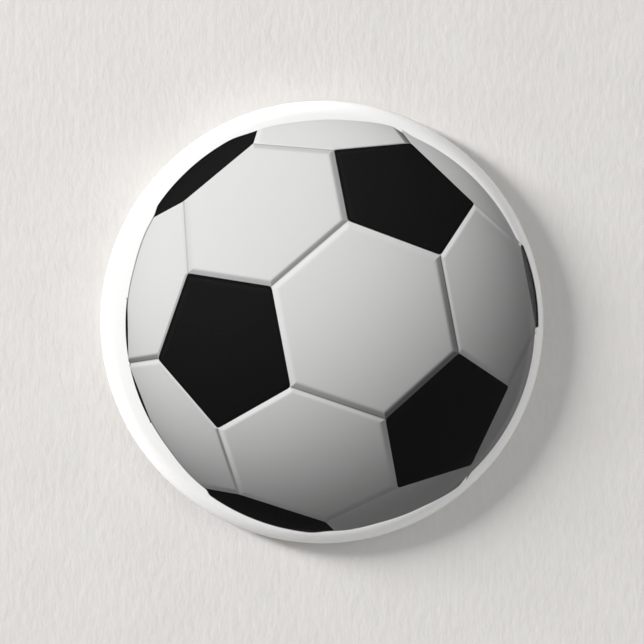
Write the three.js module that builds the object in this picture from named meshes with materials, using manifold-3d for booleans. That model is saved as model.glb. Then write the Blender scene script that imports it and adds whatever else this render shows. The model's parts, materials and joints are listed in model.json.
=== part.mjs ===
// A round pin-back button badge, lying face up on its back rim.
//
// It is made as such badges are. A shallow domed steel shell carries a printed paper disc under a
// clear film, and both are wrapped round its turned edge and tucked inside. A pressed steel back
// plate snaps in behind them. One length of spring wire is threaded under two bridges of the plate,
// turns back in a hairpin, and ends in a sharp point that sits under a catch.
//
// Millimetres, +Z out of the badge's face, origin in the middle of the plane it rests on. The pin
// lies along X, with its point towards -X.

import * as THREE from "three";
import { mergeVertices } from "three/addons/utils/BufferGeometryUtils.js";
import Module from "manifold-3d";

const wasm = await Module();
wasm.setup();

// ---- Driving dimensions ----

// The wrapped front
const BADGE_DIAMETER = 57.15; // over the film
const FACE_RISE = 2.0; // the dome's height above the shoulder
const SHOULDER_RADIUS = 2.2; // of the rolled edge, over the film
const CURL_ANGLE = THREE.MathUtils.degToRad(35); // how far the edge turns under, past upright
const SHELL_THICKNESS = 0.25;
const PAPER_THICKNESS = 0.1;
const FILM_THICKNESS = 0.05;
const LAYER_GAP = 0.02; // between one layer and the next
const FILM_LIFT = 0.25; // of the film's lowest turn above the plane that the badge rests on

// The back plate
const PLATE_THICKNESS = 0.25;
const FLOOR_GAP = 0.4; // between the plate's floor and the shell's shoulder above it
const PLATE_CLEARANCE = 0.12; // between the plate's flared wall and the tucked film
const PLATE_FLARE = THREE.MathUtils.degToRad(12); // how far the wall's free edge reaches past level
const RIM_FLAT = 0.6; // width of the rim's flat foot
const RIM_CORNER = 0.5; // radius of the rim's corners, at the middle of the sheet
const BEAD_INSET = 3.6; // of the floor's stiffening bead from the recess's wall
const BEAD_WIDTH = 1.6;
const BEAD_DROP = 0.35;

// The spring wire
const WIRE_DIAMETER = 0.85;
const POINT_INSET = 6; // of the sharp tip from the recess's wall
const POINT_LENGTH = 6; // of the taper
const POINT_RADIUS = 0.05; // left at the very tip
const PIN_DEPTH = 1.4; // of the pin's axis above the plane that the badge rests on
const LEG_OFFSET = 7; // from the pin to the anchored leg
const HAIRPIN_INSET = 5; // of the hairpin's far side from the recess's wall
const HAIRPIN_REACH = 1.2; // straight wire between the hinge point and the hairpin
const TAIL_REACH = 24; // from the hinge point to where the anchored leg turns up through the plate
const TAIL_RISE = 1.0; // how far the tail stands through the plate
const TAIL_BEND = 0.7; // radius of its bend
const WIRE_CLEARANCE = 0.08; // round the wire in its bridges
const HINGE_GAP = 0.3; // left where the pin meets the hairpin, as the wire flexes there
const HOLE_CLEARANCE = 0.35; // round the tail

// The catch and the bridges, cut and raised from the plate
const CATCH_WIDTH = 4.2;
const CATCH_OVER_POINT = 0.8; // how far it reaches past the sharp tip
const CATCH_CLEARANCE = 0.16; // round the pin
const CATCH_LIP = 0.8; // how far the lip reaches past the middle of the pin
const CATCH_BEND = 0.45; // radius of its bend, at the middle of the sheet
const SWING_TILT = THREE.MathUtils.degToRad(38); // the slope at which the pin leaves the catch
const BRIDGE_REACHES = [6, 18]; // from the hinge point to each bridge
const BRIDGE_WIDTH = 2.4;
const BRIDGE_RUNOUT = 0.6; // how far each foot slopes out

// Facets
const ROUND_STEPS = 48;
const WIRE_SIDES = 10;
const WIRE_STEP = 0.6; // along the wire
const FACE_STEPS = 4;
const EDGE_FACETS = 7; // round the rolled edge
const FOLD_FACETS = 5; // round the shell's free edge
const TUCK_FACETS = 2; // of the edge's, how many the film and paper go back up inside
const ARC_STEP = THREE.MathUtils.degToRad(22); // most that one facet of a small arc turns

// ---- Sizes that follow ----

const WIRE_RADIUS = WIRE_DIAMETER / 2;
const BADGE_RADIUS = BADGE_DIAMETER / 2;

// Distances from the middle of the shell's sheet to the middle of the paper and of the film.
const PAPER_OFFSET = SHELL_THICKNESS / 2 + LAYER_GAP + PAPER_THICKNESS / 2;
const FILM_OFFSET = PAPER_OFFSET + PAPER_THICKNESS / 2 + LAYER_GAP + FILM_THICKNESS / 2;
const STACK = FILM_OFFSET + FILM_THICKNESS / 2;

// The rolled edge is one arc about this centre.
const shellShoulder = SHOULDER_RADIUS - STACK;
const shoulderX = BADGE_RADIUS - SHOULDER_RADIUS;
const shoulderZ = FILM_LIFT + STACK + shellShoulder * Math.sin(CURL_ANGLE);

// The face is one shallow arc from the axis to the top of the rolled edge, where they share a tangent.
const faceSlope = 2 * Math.atan(FACE_RISE / shoulderX);
const faceRadius = shoulderX / Math.sin(faceSlope) + shellShoulder;
const faceZ = shoulderZ - (faceRadius - shellShoulder) * Math.cos(faceSlope);
const edgeFacet = (Math.PI / 2 - faceSlope + CURL_ANGLE) / EDGE_FACETS;

// The back plate's floor hangs below the shell's shoulder.
const floorTop = shoulderZ + shellShoulder - SHELL_THICKNESS / 2 - FLOOR_GAP;
const floorMiddle = floorTop - PLATE_THICKNESS / 2;
const floorUnder = floorTop - PLATE_THICKNESS;

// Its wall runs round the tuck as an arc, and leaves the rim's foot on that arc's lowest tangent.
const wallRadius = shellShoulder - STACK - PLATE_CLEARANCE - PLATE_THICKNESS / 2;
const cornerZ = PLATE_THICKNESS / 2 + RIM_CORNER;
const tangentRise = shoulderZ - cornerZ - (wallRadius - RIM_CORNER) * Math.sin(CURL_ANGLE);
const outerCornerX =
  shoulderX + (wallRadius - RIM_CORNER) * Math.cos(CURL_ANGLE) - tangentRise * Math.tan(CURL_ANGLE);
const innerCornerX = outerCornerX - RIM_FLAT;
const recessRadius = innerCornerX - RIM_CORNER - PLATE_THICKNESS / 2;

// The wire is placed from the recess's wall.
const hairpinX = recessRadius - HAIRPIN_INSET - LEG_OFFSET / 2;
const hingeX = hairpinX - HAIRPIN_REACH;
const pointX = POINT_INSET - recessRadius;
const pinLength = hingeX - pointX;
const tailX = hingeX - TAIL_REACH;
const legZ = floorUnder - WIRE_CLEARANCE - WIRE_RADIUS;

// ---- Sheets: a middle line in a plane, and a thickness ----

const polar = (angle) => new THREE.Vector2(Math.cos(angle), Math.sin(angle));

// A point on a sheet's middle line, with the direction in which one of its faces lies.
function linePoint(x, y, normal) {
  return { place: new THREE.Vector2(x, y), normal };
}

// An arc of a middle line about (x, y). The face lies outwards where side is 1 and inwards where it is -1.
function arc(x, y, radius, from, to, side = 1, steps = Math.ceil(Math.abs(to - from) / ARC_STEP)) {
  return Array.from({ length: steps + 1 }, (_, i) => {
    const out = polar(from + ((to - from) * i) / steps);
    return linePoint(x + radius * out.x, y + radius * out.y, out.clone().multiplyScalar(side));
  });
}

// The closed outline of a sheet, with points that coincide left out.
function sheetOutline(middle, thickness) {
  const face = (side) =>
    middle.map(({ place, normal }) => place.clone().addScaledVector(normal, (side * thickness) / 2));
  const outline = [...face(1), ...face(-1).reverse()];
  return outline.filter((p, i) => i === 0 || p.distanceTo(outline[i - 1]) > 1e-4);
}

// A sheet of revolution about Z. Its middle line may start on the axis.
function turnedSheet(middle, thickness) {
  const outline = sheetOutline(middle, thickness);
  outline.forEach((p) => {
    p.x = Math.abs(p.x) < 1e-6 ? 0 : p.x;
  });
  if (THREE.ShapeUtils.isClockWise(outline)) outline.reverse();
  if (outline[0].x > 0) outline.push(outline[0].clone());
  return new THREE.LatheGeometry(outline, ROUND_STEPS).rotateX(Math.PI / 2);
}

// A sheet whose middle line lies in the YZ plane, from x - width / 2 to x + width / 2.
function bentStrip(middle, thickness, x, width) {
  const strip = new THREE.ExtrudeGeometry(new THREE.Shape(sheetOutline(middle, thickness)), {
    depth: width,
    bevelEnabled: false,
  });
  const upright = new THREE.Matrix4().makeBasis(
    new THREE.Vector3(0, 1, 0),
    new THREE.Vector3(0, 0, 1),
    new THREE.Vector3(1, 0, 0),
  );
  return strip.applyMatrix4(upright).translate(x - width / 2, 0, 0);
}

// ---- Solids, for cutting and joining ----

function toSolid(geometry) {
  const bare = geometry.clone();
  bare.deleteAttribute("normal");
  bare.deleteAttribute("uv");
  const merged = mergeVertices(bare, 1e-4);
  return new wasm.Manifold(
    new wasm.Mesh({
      numProp: 3,
      vertProperties: merged.attributes.position.array,
      triVerts: new Uint32Array(merged.index.array),
    }),
  );
}

function toGeometry(solid) {
  const mesh = solid.getMesh();
  const geometry = new THREE.BufferGeometry();
  geometry.setAttribute("position", new THREE.BufferAttribute(mesh.vertProperties, mesh.numProp));
  geometry.setIndex(new THREE.BufferAttribute(mesh.triVerts, 1));
  geometry.computeVertexNormals();
  return geometry;
}

// ---- The wrapped front ----

// The middle line of a layer that lies this far outside the middle of the shell's sheet.
function faceLine(offset) {
  const face = arc(0, faceZ, faceRadius + offset, Math.PI / 2, Math.PI / 2 - faceSlope, 1, FACE_STEPS);
  const top = Math.PI / 2 - faceSlope;
  const edge = arc(shoulderX, shoulderZ, shellShoulder + offset, top, -CURL_ANGLE, 1, EDGE_FACETS);
  return [...face, ...edge.slice(1)];
}

// A layer that is wrapped round the shell's free edge and tucked back up inside it. The tuck keeps to
// the facets of the edge that it lies against.
function wrappedLine(offset) {
  const edgeX = shoulderX + shellShoulder * Math.cos(CURL_ANGLE);
  const edgeZ = shoulderZ - shellShoulder * Math.sin(CURL_ANGLE);
  const turn = arc(edgeX, edgeZ, offset, -CURL_ANGLE, -CURL_ANGLE - Math.PI, 1, FOLD_FACETS);
  const tuckTop = -CURL_ANGLE + TUCK_FACETS * edgeFacet;
  const tuck = arc(shoulderX, shoulderZ, shellShoulder - offset, -CURL_ANGLE, tuckTop, -1, TUCK_FACETS);
  return [...faceLine(offset), ...turn.slice(1), ...tuck.slice(1)];
}

const shellGeometry = () => turnedSheet(faceLine(0), SHELL_THICKNESS);
const paperGeometry = () => turnedSheet(wrappedLine(PAPER_OFFSET), PAPER_THICKNESS);
const filmGeometry = () => turnedSheet(wrappedLine(FILM_OFFSET), FILM_THICKNESS);

// ---- The back plate ----

const down = new THREE.Vector2(0, -1);

// From the axis, across the floor and its bead, down to the rim's foot, and up the flared wall.
function plateLine() {
  const beadRadius = recessRadius - BEAD_INSET;
  const bead = [
    [-BEAD_WIDTH / 2, 0],
    [-BEAD_WIDTH / 4, BEAD_DROP],
    [BEAD_WIDTH / 4, BEAD_DROP],
    [BEAD_WIDTH / 2, 0],
  ].map(([x, drop]) => linePoint(beadRadius + x, floorMiddle - drop, down));
  const wallX = innerCornerX - RIM_CORNER;
  return [
    linePoint(0, floorMiddle, down),
    ...bead,
    ...arc(wallX - RIM_CORNER, floorMiddle - RIM_CORNER, RIM_CORNER, Math.PI / 2, 0, -1),
    ...arc(innerCornerX, cornerZ, RIM_CORNER, Math.PI, (3 * Math.PI) / 2),
    ...arc(outerCornerX, cornerZ, RIM_CORNER, (3 * Math.PI) / 2, 2 * Math.PI - CURL_ANGLE),
    ...arc(shoulderX, shoulderZ, wallRadius, -CURL_ANGLE, PLATE_FLARE),
  ];
}

// The middle line of the catch: down beside the pin, then under it along the way that the pin leaves.
function catchLine() {
  const leave = new THREE.Vector2(-Math.cos(SWING_TILT), -Math.sin(SWING_TILT));
  const below = new THREE.Vector2(-leave.y, leave.x);
  const reach = WIRE_RADIUS + CATCH_CLEARANCE + PLATE_THICKNESS / 2;
  const legY = reach;
  const pin = new THREE.Vector2(0, PIN_DEPTH);
  // The bend's centre lies one bend radius inside both the leg and the lip.
  const bendY = legY - CATCH_BEND;
  const along = (bendY - below.x * (reach - CATCH_BEND)) / leave.x;
  const bend = pin
    .clone()
    .addScaledVector(below, reach - CATCH_BEND)
    .addScaledVector(leave, along);
  const lip = pin.clone().addScaledVector(below, reach).addScaledVector(leave, CATCH_LIP);
  return [
    linePoint(legY, floorMiddle, new THREE.Vector2(1, 0)),
    ...arc(bend.x, bend.y, CATCH_BEND, 0, below.angle() - 2 * Math.PI),
    linePoint(lip.x, lip.y, below),
  ];
}

// The middle line of a bridge over the anchored leg.
function bridgeLine() {
  const roof = legZ - WIRE_RADIUS - WIRE_CLEARANCE - PLATE_THICKNESS / 2;
  const half = WIRE_RADIUS + WIRE_CLEARANCE + PLATE_THICKNESS / 2;
  const lean = new THREE.Vector2(-1, -1).normalize();
  const leanBack = new THREE.Vector2(1, -1).normalize();
  return [
    linePoint(LEG_OFFSET - half - BRIDGE_RUNOUT, floorMiddle, down),
    linePoint(LEG_OFFSET - half, roof, lean),
    linePoint(LEG_OFFSET + half, roof, leanBack),
    linePoint(LEG_OFFSET + half + BRIDGE_RUNOUT, floorMiddle, down),
  ];
}

// A cutter through the plate's floor.
function window(x, width, lowY, highY) {
  const box = new THREE.BoxGeometry(width, highY - lowY, 2 * PLATE_THICKNESS);
  return toSolid(box.translate(x, (lowY + highY) / 2, floorMiddle));
}

function plateGeometry() {
  const catchX = pointX - CATCH_OVER_POINT + CATCH_WIDTH / 2;
  const legY = WIRE_RADIUS + CATCH_CLEARANCE;
  const catchTab = CATCH_LIP + legY + floorUnder - PIN_DEPTH + WIRE_DIAMETER;
  let plate = toSolid(turnedSheet(plateLine(), PLATE_THICKNESS));
  plate = plate.subtract(window(catchX, CATCH_WIDTH, legY - catchTab, legY));
  plate = plate.add(toSolid(bentStrip(catchLine(), PLATE_THICKNESS, catchX, CATCH_WIDTH)));
  const bridgeHalf = WIRE_RADIUS + WIRE_CLEARANCE + PLATE_THICKNESS + BRIDGE_RUNOUT / 2;
  for (const reach of BRIDGE_REACHES) {
    const x = hingeX - reach;
    plate = plate.subtract(window(x, BRIDGE_WIDTH, LEG_OFFSET - bridgeHalf, LEG_OFFSET + bridgeHalf));
    plate = plate.add(toSolid(bentStrip(bridgeLine(), PLATE_THICKNESS, x, BRIDGE_WIDTH)));
  }
  const hole = new THREE.CylinderGeometry(
    WIRE_RADIUS + HOLE_CLEARANCE,
    WIRE_RADIUS + HOLE_CLEARANCE,
    2 * PLATE_THICKNESS,
    12,
  );
  plate = plate.subtract(toSolid(hole.rotateX(Math.PI / 2).translate(tailX, LEG_OFFSET, floorMiddle)));
  return toGeometry(plate);
}

// ---- The spring wire ----

// An arc about a point at (x, y), in the plane of the plate, that changes height evenly as it turns.
class RisingArc extends THREE.Curve {
  constructor(x, y, radius, from, to, lowZ, highZ) {
    super();
    Object.assign(this, { x, y, radius, from, to, lowZ, highZ });
  }
  getPoint(t, target = new THREE.Vector3()) {
    const out = polar(THREE.MathUtils.lerp(this.from, this.to, t)).multiplyScalar(this.radius);
    const rise = THREE.MathUtils.smoothstep(t, 0, 1);
    return target.set(this.x + out.x, this.y + out.y, THREE.MathUtils.lerp(this.lowZ, this.highZ, rise));
  }
}

// A quarter turn in the XZ plane, from upright to level.
class TailBend extends THREE.Curve {
  getPoint(t, target = new THREE.Vector3()) {
    const out = polar(Math.PI + (t * Math.PI) / 2).multiplyScalar(TAIL_BEND);
    return target.set(tailX + TAIL_BEND + out.x, LEG_OFFSET, legZ + TAIL_BEND + out.y);
  }
}

function wirePath() {
  const path = new THREE.CurvePath();
  const line = (from, to) => path.add(new THREE.LineCurve3(from, to));
  line(
    new THREE.Vector3(tailX, LEG_OFFSET, floorTop + TAIL_RISE),
    new THREE.Vector3(tailX, LEG_OFFSET, legZ + TAIL_BEND),
  );
  path.add(new TailBend());
  line(
    new THREE.Vector3(tailX + TAIL_BEND, LEG_OFFSET, legZ),
    new THREE.Vector3(hairpinX, LEG_OFFSET, legZ),
  );
  path.add(
    new RisingArc(hairpinX, LEG_OFFSET / 2, LEG_OFFSET / 2, Math.PI / 2, -Math.PI / 2, legZ, PIN_DEPTH),
  );
  line(
    new THREE.Vector3(hairpinX, 0, PIN_DEPTH),
    new THREE.Vector3(hingeX + WIRE_RADIUS + HINGE_GAP, 0, PIN_DEPTH),
  );
  return path;
}

function wireGeometry() {
  const section = new THREE.Shape(
    Array.from({ length: WIRE_SIDES }, (_, i) =>
      polar((2 * Math.PI * i) / WIRE_SIDES).multiplyScalar(WIRE_RADIUS),
    ),
  );
  const path = wirePath();
  const steps = Math.round(path.getLength() / WIRE_STEP);
  return new THREE.ExtrudeGeometry(section, { steps, bevelEnabled: false, extrudePath: path });
}

// The pin, drawn up the Y axis from its round root to its point, then laid along -X.
function pinGeometry() {
  const root = arc(0, 0, WIRE_RADIUS, -Math.PI / 2, 0, 1, 3).map(({ place }) => place);
  root[0].x = 0;
  const taper = [0, 0.5, 1].map((t) => {
    const radius = THREE.MathUtils.lerp(WIRE_RADIUS, POINT_RADIUS, t * t);
    return new THREE.Vector2(radius, pinLength - POINT_LENGTH + t * (POINT_LENGTH - POINT_RADIUS));
  });
  const profile = [...root, ...taper, new THREE.Vector2(0, pinLength)];
  return new THREE.LatheGeometry(profile, WIRE_SIDES).rotateZ(Math.PI / 2);
}

// ---- Materials ----

const clearFilm = new THREE.MeshStandardMaterial({
  color: "#ffffff",
  roughness: 0.12,
  metalness: 0,
  transparent: true,
  opacity: 0.2,
});
const printedPaper = new THREE.MeshStandardMaterial({ color: "#ededed", roughness: 0.7, metalness: 0 });
const tinplate = new THREE.MeshStandardMaterial({ color: "#b9bcc0", roughness: 0.35, metalness: 1 });
const springSteel = new THREE.MeshStandardMaterial({ color: "#a7abb0", roughness: 0.25, metalness: 1 });

// ---- The badge ----

const badge = new THREE.Group();

function addPart(name, geometry, material, parent = badge) {
  const mesh = new THREE.Mesh(geometry, material);
  mesh.name = name;
  parent.add(mesh);
}

addPart("clear_film", filmGeometry(), clearFilm);
addPart("printed_disc", paperGeometry(), printedPaper);
addPart("front_shell", shellGeometry(), tinplate);
addPart("back_plate", plateGeometry(), tinplate);
addPart("anchor_wire", wireGeometry(), springSteel);

const pinHinge = new THREE.Group();
pinHinge.position.set(hingeX, 0, PIN_DEPTH);
badge.add(pinHinge);
addPart("pin_arm", pinGeometry(), springSteel, pinHinge);

export default badge;
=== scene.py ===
"""The looks of a pin-back button badge: its wrapped film and print, its tinplate and its spring wire."""

import itertools
import json
import math
import random

import bmesh
import bpy
from mathutils import Matrix, Vector


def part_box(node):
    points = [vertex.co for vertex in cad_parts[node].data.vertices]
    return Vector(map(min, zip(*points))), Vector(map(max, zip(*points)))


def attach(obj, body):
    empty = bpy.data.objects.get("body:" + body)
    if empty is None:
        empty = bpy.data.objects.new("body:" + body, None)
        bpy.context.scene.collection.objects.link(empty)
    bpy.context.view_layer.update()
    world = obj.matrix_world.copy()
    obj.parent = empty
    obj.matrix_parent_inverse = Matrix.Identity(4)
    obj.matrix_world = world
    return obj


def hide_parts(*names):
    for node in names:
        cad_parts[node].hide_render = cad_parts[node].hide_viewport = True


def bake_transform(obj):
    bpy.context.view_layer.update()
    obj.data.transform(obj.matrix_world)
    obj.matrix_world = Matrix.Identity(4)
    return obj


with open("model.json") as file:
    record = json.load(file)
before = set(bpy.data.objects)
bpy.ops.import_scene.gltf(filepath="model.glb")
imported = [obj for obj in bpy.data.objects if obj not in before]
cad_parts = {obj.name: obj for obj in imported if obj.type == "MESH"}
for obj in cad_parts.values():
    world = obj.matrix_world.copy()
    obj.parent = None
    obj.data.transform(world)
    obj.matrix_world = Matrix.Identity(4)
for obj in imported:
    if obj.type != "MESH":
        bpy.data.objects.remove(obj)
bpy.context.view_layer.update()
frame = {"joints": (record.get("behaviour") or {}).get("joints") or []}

# ---- Sizes in millimetres ----
# The badge's own are the design's, so that each piece lies where its solid does.

MM = 0.001

BADGE_DIAMETER = 57.15
FACE_RISE = 2.0
SHOULDER_RADIUS = 2.2
CURL_ANGLE = math.radians(35)
SHELL_THICKNESS = 0.25
PAPER_THICKNESS = 0.1
FILM_THICKNESS = 0.05
LAYER_GAP = 0.02
FILM_LIFT = 0.25
TUCK_ANGLE = math.radians(33)

PLATE_THICKNESS = 0.25
FLOOR_GAP = 0.4
PLATE_CLEARANCE = 0.12
PLATE_FLARE = math.radians(12)
RIM_FLAT = 0.6
RIM_CORNER = 0.5
BEAD_INSET = 3.6
BEAD_WIDTH = 1.6
BEAD_DROP = 0.35

WIRE_DIAMETER = 0.85
LEG_OFFSET = 7.0
HAIRPIN_REACH = 1.2
TAIL_REACH = 24.0
TAIL_RISE = 1.0
TAIL_BEND = 0.7
POINT_LENGTH = 6.0
POINT_RADIUS = 0.03
WIRE_CLEARANCE = 0.08
HOLE_CLEARANCE = 0.35

CATCH_WIDTH = 4.2
CATCH_OVER_POINT = 0.8
CATCH_CLEARANCE = 0.16
CATCH_LIP = 0.8
CATCH_BEND = 0.45
SWING_TILT = math.radians(38)
BRIDGE_REACHES = (6.0, 18.0)
BRIDGE_WIDTH = 2.4
BRIDGE_RUNOUT = 0.6

# Finish
TURNS = 256  # facets round the wrapped front
ROUND_SLACK = 0.004  # keeps the smooth round inside the design's box
SHELL_TURNS = 128
PLATE_TURNS = 192
PLEATS = 92
PLEAT_HEIGHT = 0.055
WIRE_SIDES = 20
BEAD_STEPS = 12
BRIDGE_STEPS = 16
EDGE_ROUND = 0.05
GATHER_STEPS = 4  # of the middle line, over which the pleats grow
LEG_STEPS = 30
TAIL_STEPS = 4
TAIL_BEND_STEPS = 8
HAIRPIN_STEPS = 32
FLEX_STEPS = 16
ARM_STEPS = 16
TAPER_STEPS = 24

# The picture on the paper
BALL_RADIUS = 26.57
BALL_CENTRE = (1.09, -0.26)
BALL_VIEWED_FROM = 4.73  # ball radii

# The stage
VIEW_WIDTH = 83.1  # of the floor that the camera sees
CAMERA_HEIGHT = 700.0
KEY_AZIMUTH = math.radians(155)
KEY_HEIGHT = math.radians(21)
KEY_DISTANCE = 1.3
KEY_SIZE = (0.20, 0.62)
KEY_POWER = 25.3
FILL_WAY = (0.62, 0.03, 0.78)
FILL_GLOW = 1.2
HORIZON_GLOW = 1.0

# ---- Sizes that follow ----

BODY = "badge_body"
hinge = Vector(frame["joints"][0]["pos_m"]) / MM

wire_radius = WIRE_DIAMETER / 2
paper_offset = SHELL_THICKNESS / 2 + LAYER_GAP + PAPER_THICKNESS / 2
film_offset = paper_offset + PAPER_THICKNESS / 2 + LAYER_GAP + FILM_THICKNESS / 2
stack = film_offset + FILM_THICKNESS / 2
shell_shoulder = SHOULDER_RADIUS - stack
shoulder_x = BADGE_DIAMETER / 2 - SHOULDER_RADIUS
shoulder_z = FILM_LIFT + stack + shell_shoulder * math.sin(CURL_ANGLE)
face_slope = 2 * math.atan(FACE_RISE / shoulder_x)
face_radius = shoulder_x / math.sin(face_slope) + shell_shoulder
face_z = shoulder_z - (face_radius - shell_shoulder) * math.cos(face_slope)
floor_top = shoulder_z + shell_shoulder - SHELL_THICKNESS / 2 - FLOOR_GAP
floor_middle = floor_top - PLATE_THICKNESS / 2
wall_radius = shell_shoulder - stack - PLATE_CLEARANCE - PLATE_THICKNESS / 2
corner_z = PLATE_THICKNESS / 2 + RIM_CORNER
tangent_rise = shoulder_z - corner_z - (wall_radius - RIM_CORNER) * math.sin(CURL_ANGLE)
outer_corner_x = (
    shoulder_x
    + (wall_radius - RIM_CORNER) * math.cos(CURL_ANGLE)
    - tangent_rise * math.tan(CURL_ANGLE)
)
inner_corner_x = outer_corner_x - RIM_FLAT
recess_radius = inner_corner_x - RIM_CORNER - PLATE_THICKNESS / 2
hairpin_x = hinge.x + HAIRPIN_REACH
tail_x = hinge.x - TAIL_REACH
leg_z = floor_top - PLATE_THICKNESS - WIRE_CLEARANCE - wire_radius
point_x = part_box("pin_arm")[0].x / MM


# ---- Sheets: a middle line in a plane, and a thickness ----


def polar(angle):
    return Vector((math.cos(angle), math.sin(angle)))


def arc(x, y, radius, start, end, side=1, steps=8):
    """Points of a middle line round (x, y), each with the direction in which one face lies."""
    points = []
    for i in range(steps + 1):
        out = polar(start + (end - start) * i / steps)
        points.append((Vector((x, y)) + radius * out, side * out))
    return points


def sheet_outline(middle, thickness):
    """The outline of a sheet from its middle line: one face there, the other back."""
    face = [p + n * thickness / 2 for p, n in middle]
    back = [p - n * thickness / 2 for p, n in reversed(middle)]
    outline = []
    for p in face + back:
        if not outline or (p - outline[-1]).length > 1e-5:
            outline.append(p)
    return outline


def new_object(name, mesh_or_bmesh):
    mesh = mesh_or_bmesh
    if isinstance(mesh, bmesh.types.BMesh):
        bmesh.ops.recalc_face_normals(mesh, faces=mesh.faces)
        made = bpy.data.meshes.new(name)
        mesh.to_mesh(made)
        mesh.free()
        mesh = made
    piece = bpy.data.objects.new(name, mesh)
    bpy.context.scene.collection.objects.link(piece)
    return piece


def smooth(piece, sharp_over=35):
    piece.data.shade_smooth()
    piece.data.set_sharp_from_angle(angle=math.radians(sharp_over))


def turned(name, outline, turns, move=None):
    """A closed body of revolution about Z. The outline runs from the axis back to it, or closes on
    itself. move(index, angle) gives what to add to a point, as (outwards, up)."""
    mesh = bmesh.new()
    rings = []
    for i, p in enumerate(outline):
        if abs(p.x) < 1e-6:
            rings.append([mesh.verts.new((0, 0, p.y * MM))])
            continue
        ring = []
        for turn in range(turns):
            angle = 2 * math.pi * turn / turns
            at = p + move(i, angle) if move else p
            ring.append(mesh.verts.new(Vector((at.x * math.cos(angle), at.x * math.sin(angle), at.y)) * MM))
        rings.append(ring)
    pairs = list(zip(rings, rings[1:]))
    if len(rings[0]) > 1:
        pairs.append((rings[-1], rings[0]))
    for a, b in pairs:
        if len(a) == len(b) == 1:
            continue
        for turn in range(turns):
            after = (turn + 1) % turns
            corners = [a[turn % len(a)], a[after % len(a)], b[after % len(b)], b[turn % len(b)]]
            mesh.faces.new(list(dict.fromkeys(corners)))
    return new_object(name, mesh)


# ---- Materials ----


class Field:
    """A number or a vector that varies over a surface. Arithmetic on it adds nodes to its tree."""

    def __init__(self, tree, socket):
        self.tree = tree
        self.socket = socket

    def _math(self, operation, *others):
        node = self.tree.nodes.new("ShaderNodeMath")
        node.operation = operation
        for slot, value in zip(node.inputs, (self, *others)):
            feed(self.tree, slot, value)
        return Field(self.tree, node.outputs[0])

    def _vector(self, operation, *others, out=0):
        node = self.tree.nodes.new("ShaderNodeVectorMath")
        node.operation = operation
        for slot, value in zip(node.inputs, (self, *others)):
            feed(self.tree, slot, value)
        return Field(self.tree, node.outputs[out])

    def __add__(self, other):
        return self._math("ADD", other)

    def __sub__(self, other):
        return self._math("SUBTRACT", other)

    def __rsub__(self, other):
        return (self * -1.0) + other

    def __mul__(self, other):
        return self._math("MULTIPLY", other)

    def __truediv__(self, other):
        return self._math("DIVIDE", other)

    def __pow__(self, other):
        return self._math("POWER", other)

    def __gt__(self, other):
        return self._math("GREATER_THAN", other)

    def __lt__(self, other):
        return self._math("LESS_THAN", other)

    def most(self, other):
        return self._math("MAXIMUM", other)

    def least(self, other):
        return self._math("MINIMUM", other)

    def root(self):
        return self.most(0.0)._math("SQRT")

    def plus(self, other):
        return self._vector("ADD", other)

    def minus(self, other):
        return self._vector("SUBTRACT", other)

    def times(self, other):
        return self._vector("MULTIPLY", other)

    def scaled(self, by):
        node = self.tree.nodes.new("ShaderNodeVectorMath")
        node.operation = "SCALE"
        feed(self.tree, node.inputs[0], self)
        feed(self.tree, node.inputs["Scale"], by)
        return Field(self.tree, node.outputs[0])

    def length(self):
        return self._vector("LENGTH", out=1)

    def dot(self, other):
        return self._vector("DOT_PRODUCT", other, out=1)

    def parts(self):
        node = self.tree.nodes.new("ShaderNodeSeparateXYZ")
        feed(self.tree, node.inputs[0], self)
        return [Field(self.tree, s) for s in node.outputs]

    def ramp(self, low, high, start=0.0, end=1.0):
        """start below low, end above high, and a smooth step between them."""
        node = self.tree.nodes.new("ShaderNodeMapRange")
        node.interpolation_type = "SMOOTHSTEP"
        for slot, value in zip(node.inputs, (self, low, high, start, end)):
            feed(self.tree, slot, value)
        return Field(self.tree, node.outputs[0])

    def blend(self, off, on):
        """off where this is 0, on where it is 1."""
        node = self.tree.nodes.new("ShaderNodeMix")
        feed(self.tree, node.inputs[0], self)
        feed(self.tree, node.inputs[2], off)
        feed(self.tree, node.inputs[3], on)
        return Field(self.tree, node.outputs[0])


def feed(tree, slot, value):
    if isinstance(value, Field):
        tree.links.new(value.socket, slot)
    elif isinstance(value, (tuple, list)) and slot.type == "RGBA" and len(value) == 3:
        slot.default_value = (*value, 1)
    else:
        slot.default_value = value


def join(tree, x, y, z):
    node = tree.nodes.new("ShaderNodeCombineXYZ")
    for slot, value in zip(node.inputs, (x, y, z)):
        feed(tree, slot, value)
    return Field(tree, node.outputs[0])


def place(tree):
    """Where a point is on the badge, in millimetres."""
    node = tree.nodes.new("ShaderNodeTexCoord")
    return Field(tree, node.outputs["Object"]).scaled(1 / MM)


def noise(tree, at, scale, detail=3.0, roughness=0.55, stretch=(1, 1, 1)):
    node = tree.nodes.new("ShaderNodeTexNoise")
    feed(tree, node.inputs["Vector"], at.times(tuple(stretch)))
    node.inputs["Scale"].default_value = scale
    node.inputs["Detail"].default_value = detail
    node.inputs["Roughness"].default_value = roughness
    return Field(tree, node.outputs[0])


def bump(tree, height, distance):
    """A bump from a height between 0 and 1, this many millimetres deep."""
    node = tree.nodes.new("ShaderNodeBump")
    node.inputs["Distance"].default_value = distance * MM
    feed(tree, node.inputs["Height"], height)
    return Field(tree, node.outputs[0])


def material(name, **settings):
    """A new Principled material, with plain values on its shader. Returns it, its tree and its shader."""
    made = bpy.data.materials.new(name)
    made.use_nodes = True
    tree = made.node_tree
    shader = tree.nodes["Principled BSDF"]
    for socket, value in settings.items():
        feed(tree, shader.inputs[socket.replace("_", " ")], value)
    return made, tree, shader


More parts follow.
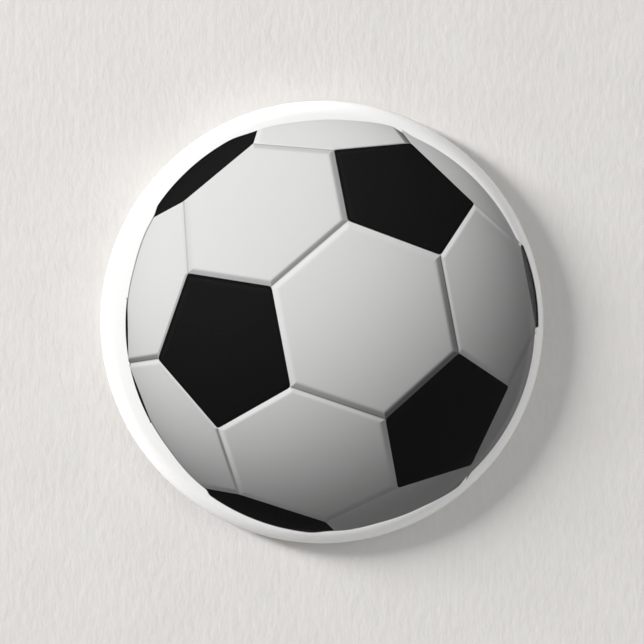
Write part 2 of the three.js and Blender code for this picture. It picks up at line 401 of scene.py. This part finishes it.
def wear_scratches(tree, at, spacing, width, seed):
    """Fine straight scratches in two directions: 1 on a scratch and 0 off it."""
    total = None
    for turn in (0.5, 2.1):
        across = at.dot((math.cos(turn + seed), math.sin(turn + seed), 0.3))
        along = at.dot((-math.sin(turn + seed), math.cos(turn + seed), 0.2))
        cell = noise(tree, join(tree, across / spacing, along / (spacing * 14), seed), 1.0, 1.0)
        mark = (cell - 0.5)._math("ABSOLUTE").ramp(0.0, width, 1.0, 0.0)
        mark = mark * noise(tree, at, 0.35 / spacing, 2.0).ramp(0.5, 0.7)
        total = mark if total is None else total.most(mark)
    return total


# -- The printed picture --

# A ball of 12 pentagons and 20 hexagons, with unit edges, has these distances from its middle.
GOLDEN = (1 + 5**0.5) / 2
CORNER_DEPTH = 0.25 * math.sqrt(58 + 18 * 5**0.5)
PENTAGON_DEPTH = 0.5 * math.sqrt((125 + 41 * 5**0.5) / 10) / CORNER_DEPTH
HEXAGON_DEPTH = 0.5 * math.sqrt(3 / 2 * (7 + 3 * 5**0.5)) / CORNER_DEPTH
PENTAGON_TO_HEXAGON = math.acos((GOLDEN + 1) / math.sqrt(3 * (GOLDEN + 2)))
HEXAGON_TO_HEXAGON = math.acos(5**0.5 / 3)

BALL_TURN = Vector((2.112, -1.168, -1.411))  # from its own axes to the picture's: axis, and angle in radians
PICTURE_LIGHT = Vector((-0.41, 0.52, 0.75)).normalized()
BEVEL_LIGHT = Vector((-0.62, 0.64, 0.45)).normalized()

PAPER_WHITE = 0.955
# Widths in ball radii
SEAM_HALF = 0.0045
BEVEL_FLAT = 0.014
BEVEL_END = 0.033
CORNER_ROUND = 0.022
PANEL_SWELL = 0.25
PENTAGON_SWELL = 0.013
HEXAGON_SWELL = -0.012
BLACK_EDGE = 0.0015  # half the softness of the edge between black and white
BALL_EDGE = 0.0015
NOTCH = 0.012
NOTCH_WIDTH = 0.03

# Pentagons behind the outline, by how far the viewer is in front of their planes, which is below 0
HIDDEN_LIMIT = -1.6
HIDDEN_LEVEL = 0.9
HIDDEN_SLOPE = 0.055
HIDDEN_WIDENING = 0.36
HIDDEN_NARROWING = 0.09
HIDDEN_GAIN = 5.0
HIDDEN_EDGE = 0.0005
HIDDEN_END = 0.01

# Tones, from 0 to 1 as they look
SHADE_START = -0.19
WHITE_DARKEST = 0.40
WHITE_RANGE = 0.49
LINE_TONE = -0.12
BEVEL_SLOPE = -0.45
BEVEL_LIGHT_SLOPE = -0.24
BEVEL_BASE = -0.03
BEVEL_BRIGHTEST = 0.10
BLACK_DARKEST = 0.01
BLACK_SHINE = 0.09
BLACK_RIM = -0.02
BLACK_RIDGE = 0.035
OUTLINE_TONE = 0.35
INK_DARKEST = 0.012


def panel_ways(*kinds):
    """Every direction that these give by cyclic order and by sign, turned as the ball is."""
    turn = Matrix.Rotation(BALL_TURN.length, 3, BALL_TURN.normalized())
    found = []
    for kind in kinds:
        for shift, *signs in itertools.product(range(3), (1, -1), (1, -1), (1, -1)):
            way = Vector([sign * kind[(i + shift) % 3] for i, sign in enumerate(signs)]).normalized()
            if all((way - other).length > 1e-4 for other in found):
                found.append(way)
    return [turn @ way for way in found]


def panels_between(low, high, spot, ways, depth):
    """The flat panels whose planes the viewer is this far in front of. Each is the nearness of its
    plane at the spot, how far the viewer is in front of it, how squarely it faces the light, and its way."""
    lens = math.sqrt(BALL_VIEWED_FROM**2 - 1)
    panels = []
    for way in ways:
        clear = way.z * BALL_VIEWED_FROM - depth
        if low < clear < high:
            nearness = spot.dot((-way.x / lens / clear, -way.y / lens / clear, way.z / clear))
            panels.append((nearness, clear, way.dot(BEVEL_LIGHT), way))
    return panels


def two_nearest(distance, panels):
    """How far the spot lies behind the planes of the two nearest panels, and each one's light."""
    near, near_light = 9.0, 0.0
    second, second_light = 9.0, 0.0
    for nearness, clear, light, _ in panels:
        gap = (nearness * distance)._math("MULTIPLY_ADD", clear, -clear)
        wins = gap < near
        runs_up = gap < second
        second_light = wins.blend(runs_up.blend(second_light, light), near_light)
        second = gap.most(near).least(second)
        near_light = wins.blend(near_light, light)
        near = gap.least(near)
    return near, near_light, second, second_light


def hidden_pentagons(flat, spot, nearness, ways):
    """Where a swollen pentagon just behind the ball's outline shows beyond the flat panels in front,
    and how far it moves the outline. The further behind it lies, the wider the part that shows, and
    the less it stands out."""
    shown = None
    shift = None
    for hidden, clear, _, way in panels_between(HIDDEN_LIMIT, 0, spot, ways, PENTAGON_DEPTH):
        half_width = -HIDDEN_WIDENING * clear - HIDDEN_NARROWING
        sideways = flat.dot((-way.y, way.x, 0))._math("ABSOLUTE")
        along = sideways.ramp(half_width, half_width + HIDDEN_END, 1.0, 0.0)
        beyond = (hidden - nearness) * (-HIDDEN_GAIN * clear)
        shows = beyond.ramp(-HIDDEN_EDGE, HIDDEN_EDGE) * along
        moved = shows * ((clear + HIDDEN_LEVEL) * HIDDEN_SLOPE)
        shown = shows if shown is None else shown.most(shows)
        shift = moved if shift is None else shift + moved
    return shown, shift


def ball_shade(tree, flat, reach):
    """How much light a smooth round ball has there, from 0 to 1."""
    spread = BALL_VIEWED_FROM**2 - 1
    away = (BALL_VIEWED_FROM - (1.0 - reach).root()) / (reach * (1 / spread) + 1.0)
    level = flat.scaled(away * (1 / math.sqrt(spread)))
    surface = level.plus(join(tree, 0, 0, BALL_VIEWED_FROM - away))
    return surface.dot(tuple(PICTURE_LIGHT)).ramp(SHADE_START, 1.0)


def white_panel(shade, lit, side, outside, from_seam, across_pentagon, across_hexagon):
    """The tone of a white panel: its shade, the bevel along its nearest seam, and the seam's line."""
    darker = across_pentagon.most(0.0) * BEVEL_SLOPE
    by_pentagon = darker + across_pentagon.least(0.0) * BEVEL_LIGHT_SLOPE + BEVEL_BASE
    by_hexagon = (across_hexagon * BEVEL_SLOPE + BEVEL_BASE).least(BEVEL_BRIGHTEST)
    lift = (side < outside).blend(by_pentagon, by_hexagon)
    bevel = from_seam.ramp(BEVEL_FLAT, BEVEL_END, 1.0, 0.0)
    line = side.ramp(0.4 * SEAM_HALF, 1.6 * SEAM_HALF, 1.0, 0.0) * LINE_TONE
    return shade * WHITE_RANGE + WHITE_DARKEST + (bevel * lift + line) * lit


def black_panel(shade, lit, inner, across_pentagon):
    """The tone of a black panel: a faint shine, a darker rim, and a faint ridge inside the rim."""
    rim = inner.ramp(0.010, 0.016, 1.0, 0.0) * BLACK_RIM
    ridge = inner.ramp(0.010, 0.018) * inner.ramp(0.022, 0.034, 1.0, 0.0) * BLACK_RIDGE
    shine = shade * shade * shade * BLACK_SHINE
    return shine + BLACK_DARKEST + rim + ridge * (across_pentagon.most(0.0) + 0.15) * lit


def outline_share(reach, black, side, from_seam, inner, shift):
    """How far out the spot is, as a share of the way to the ball's outline there."""
    swell = black.blend(from_seam, inner).ramp(0.0, PANEL_SWELL)
    limit = swell * black.blend(HEXAGON_SWELL, PENTAGON_SWELL) + shift + 1.0
    notch = side.ramp(0.0, NOTCH_WIDTH, NOTCH, 0.0) * (1.0 - black)
    return reach.root() / limit + notch


def ball_tone(tree, at):
    """The tone of the picture of the ball, as it looks, from 0 to 1, and 1 where the ball is."""
    flat = at.minus((*BALL_CENTRE, 0)).times((1 / BALL_RADIUS, 1 / BALL_RADIUS, 0))
    spot = flat.plus((0, 0, 1))
    pentagon_ways = panel_ways((0, 1, GOLDEN))
    hexagon_ways = panel_ways((2 - GOLDEN, 0, 1), (1, 1, 1))
    pentagons = panels_between(0, BALL_VIEWED_FROM, spot, pentagon_ways, PENTAGON_DEPTH)
    hexagons = panels_between(0, BALL_VIEWED_FROM, spot, hexagon_ways, HEXAGON_DEPTH)
    nearness = pentagons[0][0]
    for panel in pentagons[1:] + hexagons:
        nearness = nearness.least(panel[0])
    distance = nearness.most(0.05) ** -1.0
    black_gap, black_light, _, _ = two_nearest(distance, pentagons)
    white_gap, white_light, next_gap, next_light = two_nearest(distance, hexagons)

    outside = (black_gap - white_gap) * (1 / math.sin(PENTAGON_TO_HEXAGON))
    outside_next = (black_gap - next_gap) * (1 / math.sin(PENTAGON_TO_HEXAGON))
    rounded = outside._math("SMOOTH_MAX", outside_next, CORNER_ROUND)
    shown, shift = hidden_pentagons(flat, spot, nearness, pentagon_ways)
    black = rounded.ramp(-BLACK_EDGE, BLACK_EDGE, 1.0, 0.0).most(shown)

    side = (next_gap - white_gap) * (1 / math.sin(HEXAGON_TO_HEXAGON))
    from_seam = side.least(outside.most(0.0))
    across_pentagon = (white_light - black_light) * (0.5 / math.sin(PENTAGON_TO_HEXAGON / 2))
    across_hexagon = (white_light - next_light) * (0.5 / math.sin(HEXAGON_TO_HEXAGON / 2))

    reach = flat.dot(flat)
    shade = ball_shade(tree, flat, reach)
    lit = shade.ramp(0.12, 0.6, 0.08, 0.85)
    inner = outside * -1.0
    white_tone = white_panel(shade, lit, side, outside, from_seam, across_pentagon, across_hexagon)
    tone = black.blend(white_tone, black_panel(shade, lit, inner, across_pentagon))

    edge = outline_share(reach, black, side, from_seam, inner, shift)
    inside = edge.ramp(1.0 - BALL_EDGE, 1.0 + BALL_EDGE, 1.0, 0.0)
    on_left = flat.dot((-0.9, 0.1, 0)).ramp(0.5, 0.75)
    outline = edge.ramp(0.9935, 0.9965) * on_left * OUTLINE_TONE
    return (tone - outline * tone).most(INK_DARKEST), inside


def printed_paper():
    made, tree, shader = material(
        "printed_paper",
        Roughness=0.42,
        IOR=1.5,
        Specular_IOR_Level=0.05,
        Coat_Weight=0.55,
        Coat_Roughness=0.07,
        Coat_IOR=1.55,
    )
    at = place(tree)
    tone, ball = ball_tone(tree, at)
    mottle = noise(tree, at, 2.2, 4.0).ramp(0.25, 0.75, 0.988, 1.012)
    dots = noise(tree, at, 14.0, 1.0).ramp(0.2, 0.8, 0.985, 1.015)
    fibres = noise(tree, at, 3.0, 3.0, stretch=(1, 6, 1)).ramp(0.3, 0.7, 0.985, 1.0)
    upper = at.parts()[2] > shoulder_z
    ink = (tone**2.2) * 1.03 * dots
    white = fibres * PAPER_WHITE
    value = (ball * upper).blend(white, ink) * mottle
    warm = join(tree, value, value * 0.998, value * 0.99)
    feed(tree, shader.inputs["Base Color"], warm)
    ink_gloss = ball * (1.0 - tone)
    feed(tree, shader.inputs["Roughness"], noise(tree, at, 5.0).ramp(0.3, 0.7, 0.40, 0.5) - ink_gloss * 0.12)
    peel = noise(tree, at, 1.6, 2.0) * 0.7 + noise(tree, at, 9.0, 2.0) * 0.3
    feed(tree, shader.inputs["Normal"], bump(tree, peel, 0.006))
    return made


def clear_film():
    """Clear gloss polyester. The paper under it has the film's gloss as a coat, so this adds only a
    faint haze, with dust and hairline scratches."""
    made, tree, shader = material(
        "clear_film", Base_Color=(0.1, 0.1, 0.1), Alpha=0.03, IOR=1.6, Coat_Weight=1.0, Coat_Roughness=0.05
    )
    at = place(tree)
    hairlines = wear_scratches(tree, at, 1.3, 0.012, 0.4)
    cloud = noise(tree, at, 0.25, 3.0).ramp(0.35, 0.7, 0.06, 0.14)
    feed(tree, shader.inputs["Roughness"], cloud + hairlines * 0.35)
    ripple = noise(tree, at, 0.18, 2.0) * 0.8 + hairlines * -0.2
    feed(tree, shader.inputs["Normal"], bump(tree, ripple, 0.02))
    return made


def tinplate():
    """Bright rolled sheet: grain along X, a faint spangle, press rings, scuffs, faint grime, and painted
    shade that darkens the corner of the back's recess.
    """
    made, tree, shader = material("tinplate", Metallic=1.0, IOR=1.5)
    at = place(tree)
    x, y, z = at.parts()
    radius = (x * x + y * y).root()
    grain = noise(tree, at, 2.4, 5.0, 0.6, stretch=(0.06, 1.6, 1.6))
    fine = noise(tree, at, 9.0, 2.0, 0.5, stretch=(0.05, 1.3, 1.3))
    rings = noise(tree, join(tree, radius * 3.2, z * 3.2, 0.0), 1.0, 3.0)
    on_rim = radius.ramp(recess_radius - 0.8, recess_radius + 0.3)
    cell = tree.nodes.new("ShaderNodeTexVoronoi")
    feed(tree, cell.inputs["Vector"], at)
    cell.inputs["Scale"].default_value = 0.32
    spangle = Field(tree, cell.outputs["Color"]).parts()[0]
    scuffs = wear_scratches(tree, at, 0.8, 0.02, 1.7)
    grime = noise(tree, at, 0.5, 5.0).ramp(0.45, 0.75)
    # painted shade: the metal is darker in the corner of the back's recess, where shade falls, mottled by
    # the grime noise; the grime alone darkens the metal faintly everywhere
    recess_corner_shade = radius.ramp(recess_radius - 1.6, recess_radius - 0.2) * (z > corner_z)
    dark = (grime * 0.5 + 0.5) * recess_corner_shade * 0.35 + grime * 0.08
    streaks = on_rim.blend(grain, rings)
    value = streaks.ramp(0.3, 0.7, 0.70, 0.80) + spangle * 0.03 - dark + scuffs * 0.06
    feed(tree, shader.inputs["Base Color"], join(tree, value * 0.985, value * 0.99, value))
    rough = streaks.ramp(0.3, 0.7, 0.24, 0.36) + spangle * 0.05 + dark * 0.5 - scuffs * 0.08
    feed(tree, shader.inputs["Roughness"], rough)
    height = streaks * 0.5 + fine * 0.25 - scuffs * 0.3
    feed(tree, shader.inputs["Normal"], bump(tree, height, 0.008))
    return made


def spring_wire():
    """Nickel-plated drawn wire: die lines along it, and a ground and polished point."""
    made, tree, shader = material("spring_wire", Metallic=1.0, IOR=1.5)
    at = place(tree)
    x, y, z = at.parts()
    lines = noise(tree, at, 7.0, 3.0, 0.5, stretch=(0.05, 1.2, 1.2))
    stain = noise(tree, at, 0.7, 4.0).ramp(0.5, 0.8)
    ground = x.ramp(point_x + POINT_LENGTH - 0.6, point_x + POINT_LENGTH + 0.2, 1.0, 0.0)
    rings = noise(tree, join(tree, x * 6.0, 0.0, 0.0), 1.0, 2.0)
    texture = ground.blend(lines, rings)
    value = texture.ramp(0.3, 0.7, 0.62, 0.74) + ground * 0.05 - stain * 0.12
    feed(tree, shader.inputs["Base Color"], join(tree, value, value * 0.985, value * 0.96))
    feed(tree, shader.inputs["Roughness"], texture.ramp(0.3, 0.7, 0.16, 0.28) + stain * 0.15)
    feed(tree, shader.inputs["Normal"], bump(tree, texture, 0.006))
    return made


def dress(piece, look):
    piece.data.materials.clear()
    piece.data.materials.append(look)


# ---- The wrapped front ----


def face_line(offset):
    top = math.pi / 2 - face_slope
    face = arc(0, face_z, face_radius + offset, math.pi / 2, top, steps=10)
    edge = arc(shoulder_x, shoulder_z, shell_shoulder + offset, top, -CURL_ANGLE, steps=16)
    return face + edge[1:]


def wrapped_line(offset):
    """The middle line of a layer, and how far each of its points is into the gathered turn."""
    edge = Vector((shoulder_x, shoulder_z)) + shell_shoulder * polar(-CURL_ANGLE)
    turn = arc(*edge, offset, -CURL_ANGLE, -CURL_ANGLE - math.pi, steps=8)
    tuck_top = TUCK_ANGLE - CURL_ANGLE
    tuck = arc(shoulder_x, shoulder_z, shell_shoulder - offset, -CURL_ANGLE, tuck_top, side=-1, steps=5)
    line = face_line(offset)
    plain = len(line) - 1 - GATHER_STEPS
    gathered = [max(0.0, (i - plain) / GATHER_STEPS) for i in range(len(line))]
    return line + turn[1:] + tuck[1:], gathered + [1.0] * (len(turn) + len(tuck) - 2)


def pleat_heights():
    """Where the wrapped film and paper are gathered: each pleat's angle, width and height."""
    draw = random.Random(7)
    pleats = []
    for i in range(PLEATS):
        angle = 2 * math.pi * (i + draw.uniform(-0.35, 0.35)) / PLEATS
        pleats.append((angle, draw.uniform(0.010, 0.022), draw.uniform(0.3, 1.0) * PLEAT_HEIGHT))
    return pleats


PLEAT_LIST = pleat_heights()


def gather(angle):
    height = 0.0
    for at, width, peak in PLEAT_LIST:
        gap = (angle - at + math.pi) % (2 * math.pi) - math.pi
        if abs(gap) < 3 * width:
            height = max(height, peak * math.exp(-((gap / width) ** 2)))
    return height


def wrapped_layer(name, offset, thickness):
    """A layer with pleats where it turns under the edge. Both its faces move out by the same amount."""
    middle, gathered = wrapped_line(offset)
    outline = sheet_outline(middle, thickness)
    heights = [gather(2 * math.pi * turn / TURNS) for turn in range(TURNS)]
    ways = [n for p, n in middle] + [n for p, n in reversed(middle)]
    amounts = gathered + gathered[::-1]
    if len(ways) != len(outline):
        raise ValueError("two points of the outline coincide")

    def move(i, angle):
        turn = round(angle / (2 * math.pi) * TURNS) % TURNS
        return ways[i] * amounts[i] * heights[turn]

    piece = turned(name, outline, TURNS, move)
    smooth(piece, 50)
    return piece


film_look, paper_look, tin_look, wire_look = clear_film(), printed_paper(), tinplate(), spring_wire()

film = wrapped_layer("film_wrap", film_offset, FILM_THICKNESS - ROUND_SLACK)
dress(film, film_look)
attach(film, BODY)
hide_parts("clear_film")

paper = wrapped_layer("print_wrap", paper_offset, PAPER_THICKNESS)
dress(paper, paper_look)
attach(paper, BODY)
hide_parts("printed_disc")

shell = turned("shell_dome", sheet_outline(face_line(0), SHELL_THICKNESS), SHELL_TURNS)
smooth(shell, 50)
dress(shell, tin_look)
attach(shell, BODY)
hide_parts("front_shell")


# ---- The back plate ----


def plate_line():
    down = Vector((0, -1))
    bead_radius = recess_radius - BEAD_INSET
    bead = []
    for i in range(BEAD_STEPS + 1):
        share = i / BEAD_STEPS
        drop = BEAD_DROP * 0.5 * (1 - math.cos(2 * math.pi * share))
        slope = BEAD_DROP * math.pi / BEAD_WIDTH * math.sin(2 * math.pi * share)
        spot = Vector((bead_radius + (share - 0.5) * BEAD_WIDTH, floor_middle - drop))
        bead.append((spot, Vector((-slope, -1)).normalized()))
    wall_x = inner_corner_x - RIM_CORNER
    return [
        (Vector((0, floor_middle)), down),
        *bead,
        *arc(wall_x - RIM_CORNER, floor_middle - RIM_CORNER, RIM_CORNER, math.pi / 2, 0, side=-1),
        *arc(inner_corner_x, corner_z, RIM_CORNER, math.pi, 1.5 * math.pi),
        *arc(outer_corner_x, corner_z, RIM_CORNER, 1.5 * math.pi, 2 * math.pi - CURL_ANGLE, steps=6),
        *arc(shoulder_x, shoulder_z, wall_radius, -CURL_ANGLE, PLATE_FLARE, steps=6),
    ]


def strip(middle, x, width):
    """A bent strip of the plate's sheet whose middle line lies in the YZ plane, with rounded edges."""
    outline = sheet_outline(middle, PLATE_THICKNESS)
    mesh = bmesh.new()
    ends = []
    for end in (x - width / 2, x + width / 2):
        ends.append([mesh.verts.new(Vector((end, p.x, p.y)) * MM) for p in outline])
    mesh.faces.new(ends[0])
    mesh.faces.new(ends[1][::-1])
    for i in range(len(outline)):
        after = (i + 1) % len(outline)
        mesh.faces.new((ends[0][i], ends[0][after], ends[1][after], ends[1][i]))
    piece = new_object("strip", mesh)
    rounding = piece.modifiers.new("rounding", "BEVEL")
    rounding.width = EDGE_ROUND * MM
    rounding.segments = 2
    rounding.limit_method = "ANGLE"
    rounding.angle_limit = math.radians(50)
    return piece


def catch_line():
    leave = Vector((-math.cos(SWING_TILT), -math.sin(SWING_TILT)))
    below = Vector((-leave.y, leave.x))
    reach = wire_radius + CATCH_CLEARANCE + PLATE_THICKNESS / 2
    bend_y = reach - CATCH_BEND
    along = (bend_y - below.x * (reach - CATCH_BEND)) / leave.x
    pin = Vector((0, hinge.z))
    bend = pin + below * (reach - CATCH_BEND) + leave * along
    lip = pin + below * reach + leave * CATCH_LIP
    turn_end = math.atan2(below.y, below.x)
    return [
        (Vector((reach, floor_middle)), Vector((1, 0))),
        *arc(*bend, CATCH_BEND, 0, turn_end, steps=8),
        (lip, below),
    ]


def bridge_line():
    roof = leg_z - wire_radius - WIRE_CLEARANCE - PLATE_THICKNESS / 2
    half = wire_radius + WIRE_CLEARANCE + PLATE_THICKNESS / 2
    points = []
    for i in range(BRIDGE_STEPS + 1):
        share = -1 + 2 * i / BRIDGE_STEPS
        rise = 0.5 + 0.5 * math.cos(math.pi * max(0.0, (abs(share) - 0.45) / 0.55))
        y = LEG_OFFSET + share * (half + BRIDGE_RUNOUT)
        points.append(Vector((y, floor_middle + (roof - floor_middle) * rise)))
    line = []
    for i, p in enumerate(points):
        way = points[min(i + 1, BRIDGE_STEPS)] - points[max(i - 1, 0)]
        line.append((p, Vector((way.y, -way.x)).normalized()))
    return line


def box_cutter(x, width, low_y, high_y):
    mesh = bmesh.new()
    bmesh.ops.create_cube(mesh, size=1)
    size = Vector((width, high_y - low_y, 2 * PLATE_THICKNESS)) * MM
    centre = Vector((x, (low_y + high_y) / 2, floor_middle)) * MM
    put = Matrix.Translation(centre) @ Matrix.Diagonal((*size, 1))
    bmesh.ops.transform(mesh, matrix=put, verts=mesh.verts)
    return new_object("cutter", mesh)


def hole_cutter():
    mesh = bmesh.new()
    radius = (wire_radius + HOLE_CLEARANCE) * MM
    centre = Matrix.Translation(Vector((tail_x, LEG_OFFSET, floor_middle)) * MM)
    bmesh.ops.create_cone(
        mesh,
        cap_ends=True,
        segments=40,
        radius1=radius,
        radius2=radius,
        depth=2 * PLATE_THICKNESS * MM,
        matrix=centre,
    )
    return new_object("cutter", mesh)


def combine(piece, other, operation):
    """Cut other out of the piece, or join it on, for good."""
    step = piece.modifiers.new(operation, "BOOLEAN")
    step.operation = operation
    step.solver = "EXACT"
    step.object = other
    bpy.context.view_layer.update()
    done = bpy.data.meshes.new_from_object(piece.evaluated_get(bpy.context.evaluated_depsgraph_get()))
    piece.modifiers.clear()
    piece.data = done
    bpy.data.objects.remove(other)


plate = turned("back_plate_pressing", sheet_outline(plate_line(), PLATE_THICKNESS), PLATE_TURNS)
catch_x = point_x - CATCH_OVER_POINT + CATCH_WIDTH / 2
leg_y = wire_radius + CATCH_CLEARANCE
catch_tab = CATCH_LIP + leg_y + (floor_top - PLATE_THICKNESS) - hinge.z + WIRE_DIAMETER
bridge_half = wire_radius + WIRE_CLEARANCE + PLATE_THICKNESS + BRIDGE_RUNOUT / 2
combine(plate, box_cutter(catch_x, CATCH_WIDTH, leg_y - catch_tab, leg_y), "DIFFERENCE")
for reach in BRIDGE_REACHES:
    edges = (LEG_OFFSET - bridge_half, LEG_OFFSET + bridge_half)
    combine(plate, box_cutter(hinge.x - reach, BRIDGE_WIDTH, *edges), "DIFFERENCE")
combine(plate, hole_cutter(), "DIFFERENCE")
combine(plate, strip(catch_line(), catch_x, CATCH_WIDTH), "UNION")
for reach in BRIDGE_REACHES:
    combine(plate, strip(bridge_line(), hinge.x - reach, BRIDGE_WIDTH), "UNION")
smooth(plate, 28)
dress(plate, tin_look)
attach(plate, BODY)
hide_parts("back_plate")


# ---- The spring wire ----


def tube(name, path, radii):
    """A closed round tube along a path of points, with a radius at each."""
    mesh = bmesh.new()
    rings = []
    across = Vector((0, 1, 0))
    for i, at in enumerate(path):
        way = (path[min(i + 1, len(path) - 1)] - path[max(i - 1, 0)]).normalized()
        across = (across - way * across.dot(way)).normalized()
        other = way.cross(across)
        ring = []
        for side in range(WIRE_SIDES):
            angle = 2 * math.pi * side / WIRE_SIDES
            out = across * math.cos(angle) + other * math.sin(angle)
            ring.append(mesh.verts.new((at + out * radii[i]) * MM))
        rings.append(ring)
    for a, b in zip(rings, rings[1:]):
        for side in range(WIRE_SIDES):
            after = (side + 1) % WIRE_SIDES
            mesh.faces.new((a[side], a[after], b[after], b[side]))
    mesh.faces.new(rings[0][::-1])
    mesh.faces.new(rings[-1])
    return new_object(name, mesh)


def straight(a, b, steps):
    return [a.lerp(b, i / steps) for i in range(steps + 1)]


def anchor_path():
    """Up the hole, round the tail's bend, along the bridges, and round the hairpin to the pin's line."""
    top = Vector((tail_x, LEG_OFFSET, floor_top + TAIL_RISE))
    path = straight(top, Vector((tail_x, LEG_OFFSET, leg_z + TAIL_BEND)), TAIL_STEPS)
    for i in range(1, TAIL_BEND_STEPS + 1):
        turn = polar(math.pi * (1 + i / TAIL_BEND_STEPS / 2)) * TAIL_BEND
        path.append(Vector((tail_x + TAIL_BEND + turn.x, LEG_OFFSET, leg_z + TAIL_BEND + turn.y)))
    path += straight(path[-1], Vector((hairpin_x, LEG_OFFSET, leg_z)), LEG_STEPS)[1:]
    for i in range(1, HAIRPIN_STEPS + 1):
        share = i / HAIRPIN_STEPS
        turn = polar(math.pi * (0.5 - share)) * LEG_OFFSET / 2
        sink = share * share * (3 - 2 * share)
        z = leg_z + (hinge.z - leg_z) * sink
        path.append(Vector((hairpin_x + turn.x, LEG_OFFSET / 2 + turn.y, z)))
    return path


def pin_path():
    """From the hairpin to the point, closely spaced where the wire flexes and where it tapers."""
    start = Vector((hairpin_x, 0, hinge.z))
    flexed = Vector((hinge.x - HAIRPIN_REACH, 0, hinge.z))
    taper = Vector((point_x + POINT_LENGTH, 0, hinge.z))
    tip = Vector((point_x, 0, hinge.z))
    path = straight(start, flexed, FLEX_STEPS)
    path += straight(flexed, taper, ARM_STEPS)[1:]
    return path + straight(taper, tip, TAPER_STEPS)[1:]


def pin_radius(at):
    share = max(0.0, min(1.0, (point_x + POINT_LENGTH - at.x) / POINT_LENGTH))
    return wire_radius + (POINT_RADIUS - wire_radius) * share * share


anchor_points = anchor_path()
anchor = tube("anchor_wire_round", anchor_points, [wire_radius] * len(anchor_points))
smooth(anchor)
dress(anchor, wire_look)
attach(anchor, BODY)
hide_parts("anchor_wire")

pin_points = pin_path()
pin = tube("pin_round", pin_points, [pin_radius(p) for p in pin_points])
smooth(pin)
dress(pin, wire_look)
tuple(pin_points[0] * MM)
tuple(pin_points[FLEX_STEPS] * MM)
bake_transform(pin)
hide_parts("pin_arm")


# ---- The stage ----


def floor_look():
    """Pale felted paper, with short soft fibres."""
    made, tree, shader = material("floor_paper", Roughness=0.85, IOR=1.4)
    at = place(tree)
    fibres = noise(tree, at, 1.3, 4.0, 0.55, stretch=(0.9, 0.36, 1.0))
    cloud = noise(tree, at, 0.09, 3.0)
    value = fibres.ramp(0.25, 0.75, 0.745, 0.765) * cloud.ramp(0.3, 0.7, 0.985, 1.015)
    feed(tree, shader.inputs["Base Color"], join(tree, value, value * 0.975, value * 0.945))
    feed(tree, shader.inputs["Normal"], bump(tree, fibres, 0.065))
    return made


def set_stage():
    mesh = bmesh.new()
    bmesh.ops.create_grid(mesh, x_segments=1, y_segments=1, size=1.5)
    ground = new_object("floor", mesh)
    dress(ground, floor_look())


def key_light():
    """A low, soft panel light to the left of the badge and a little above it in the picture.

    The gloss doesn't mirror it, or it would hide the print in views from the far side."""
    level = polar(KEY_AZIMUTH) * math.cos(KEY_HEIGHT)
    way = Vector((level.x, level.y, math.sin(KEY_HEIGHT)))
    light = bpy.data.lights.new("key", "AREA")
    light.shape = "RECTANGLE"
    light.size, light.size_y = KEY_SIZE
    light.energy = KEY_POWER
    lamp = bpy.data.objects.new("key", light)
    lamp.location = way * KEY_DISTANCE
    lamp.rotation_euler = way.to_track_quat("Z", "Y").to_euler()
    lamp.visible_camera = False
    lamp.visible_glossy = False
    bpy.context.scene.collection.objects.link(lamp)


def sky_light():
    """A pale studio: bright round the horizon and high up on the side away from the key, and dark
    straight above, so that the film's gloss doesn't veil the print seen from there. Below the horizon
    is a softer light, for the underside."""
    world = bpy.data.worlds.new("studio")
    bpy.context.scene.world = world
    world.use_nodes = True
    tree = world.node_tree
    sky = tree.nodes["Background"]
    sky.inputs["Color"].default_value = (1.0, 1.0, 1.0, 1)
    coordinate = tree.nodes.new("ShaderNodeTexCoord")
    way = Field(tree, coordinate.outputs["Generated"])
    height = way.parts()[2]
    horizon = height.ramp(0.08, 0.22, HORIZON_GLOW, 0.0) * height.ramp(-0.3, -0.05)
    below = height.ramp(-0.9, -0.15, 0.32, 0.85) * height.ramp(-0.05, 0.0, 1.0, 0.0)
    ceiling = height.ramp(0.1, 0.7, 0.075, 0.37)
    fill = way.dot(tuple(Vector(FILL_WAY).normalized())).ramp(0.8, 0.97, 0.0, FILL_GLOW)
    overhead = height.ramp(0.87, 0.94, 1.0, 0.0)
    feed(tree, sky.inputs["Strength"], (horizon + ceiling + fill) * overhead + below + 0.01)


def set_lights():
    key_light()
    sky_light()
    bpy.context.scene.view_settings.view_transform = "Standard"


def set_camera():
    lens = bpy.data.cameras.new("camera")
    lens.sensor_width = 36.0
    lens.lens = lens.sensor_width * CAMERA_HEIGHT / VIEW_WIDTH
    lens.clip_start = 0.01
    camera = bpy.data.objects.new("camera", lens)
    camera.location = (0, 0, CAMERA_HEIGHT * MM)
    bpy.context.scene.collection.objects.link(camera)
    bpy.context.scene.camera = camera


set_stage()
set_lights()
set_camera()
